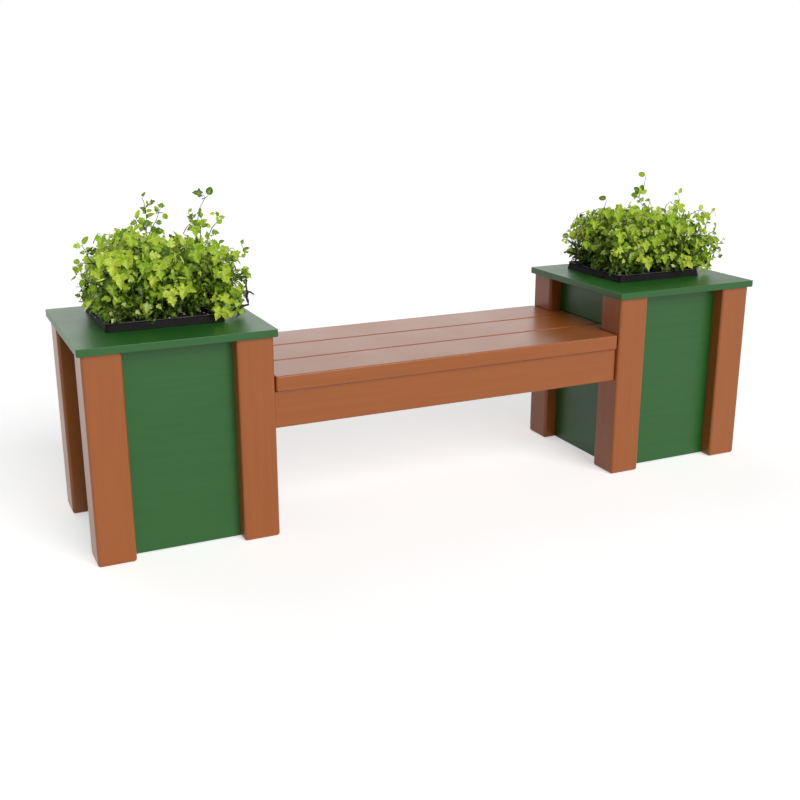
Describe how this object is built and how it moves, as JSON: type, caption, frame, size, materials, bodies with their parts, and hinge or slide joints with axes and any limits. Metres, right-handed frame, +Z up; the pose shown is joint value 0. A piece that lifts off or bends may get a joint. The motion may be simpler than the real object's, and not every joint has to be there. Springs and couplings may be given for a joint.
{
  "type": "bench with planter",
  "caption": "Straight slatted park bench between square planter boxes with recessed side panels and lift-out planted trays.",
  "frame": {"origin": "on the ground, at the centre of the bench's length and depth", "axes": "+X along the bench to the right as seen from the front, +Y to the back, +Z up"},
  "size_m": [2.095, 0.51, 0.9263],
  "materials": {
    "brown_lumber": "satin",
    "green_board": "satin",
    "tray_plastic": "satin",
    "soil": "matte",
    "foliage": "satin",
    "fixings": "brushed"
  },
  "bodies": {
    "bench": {"left_post_outer_front": "brown_lumber", "left_post_outer_rear": "brown_lumber", "left_post_inner_front": "brown_lumber", "left_post_inner_rear": "brown_lumber", "right_post_outer_front": "brown_lumber", "right_post_outer_rear": "brown_lumber", "right_post_inner_front": "brown_lumber", "right_post_inner_rear": "brown_lumber", "left_batten_outer": "brown_lumber", "left_batten_inner": "brown_lumber", "right_batten_outer": "brown_lumber", "right_batten_inner": "brown_lumber", "seat_slat_front": "brown_lumber", "seat_slat_middle": "brown_lumber", "seat_slat_rear": "brown_lumber", "seat_rail_front": "brown_lumber", "seat_rail_rear": "brown_lumber", "seat_bearer_left": "brown_lumber", "seat_bearer_middle": "brown_lumber", "seat_bearer_right": "brown_lumber", "left_panel_front": "green_board", "left_panel_rear": "green_board", "left_panel_outer": "green_board", "left_panel_inner": "green_board", "right_panel_front": "green_board", "right_panel_rear": "green_board", "right_panel_outer": "green_board", "right_panel_inner": "green_board", "left_top_plate": "green_board", "right_top_plate": "green_board", "left_plate_screw_outer": "fixings", "left_plate_screw_inner": "fixings", "right_plate_screw_outer": "fixings", "right_plate_screw_inner": "fixings", "slat_screw_left_front": "fixings", "slat_screw_left_middle": "fixings", "slat_screw_left_rear": "fixings", "slat_screw_right_front": "fixings", "slat_screw_right_middle": "fixings", "slat_screw_right_rear": "fixings", "post_bolt_left_front": "fixings", "post_bolt_left_rear": "fixings", "post_bolt_right_front": "fixings", "post_bolt_right_rear": "fixings", "post_nut_left_front": "fixings", "post_nut_left_rear": "fixings", "post_nut_right_front": "fixings", "post_nut_right_rear": "fixings"},
    "left_planting": {"left_tray": "tray_plastic", "left_soil": "soil", "left_plant_1": "foliage", "left_plant_2": "foliage", "left_plant_3": "foliage", "left_plant_4": "foliage"},
    "right_planting": {"right_tray": "tray_plastic", "right_soil": "soil", "right_plant_1": "foliage", "right_plant_2": "foliage", "right_plant_3": "foliage", "right_plant_4": "foliage"}
  },
  "joints": [
    {"name": "left_tray_lift", "type": "slide", "parent": "bench", "child": "left_planting", "axis": [0, 0, 1], "range_m": [0, 0.18]},
    {"name": "right_tray_lift", "type": "slide", "parent": "bench", "child": "right_planting", "axis": [0, 0, 1], "range_m": [0, 0.18]}
  ]
}
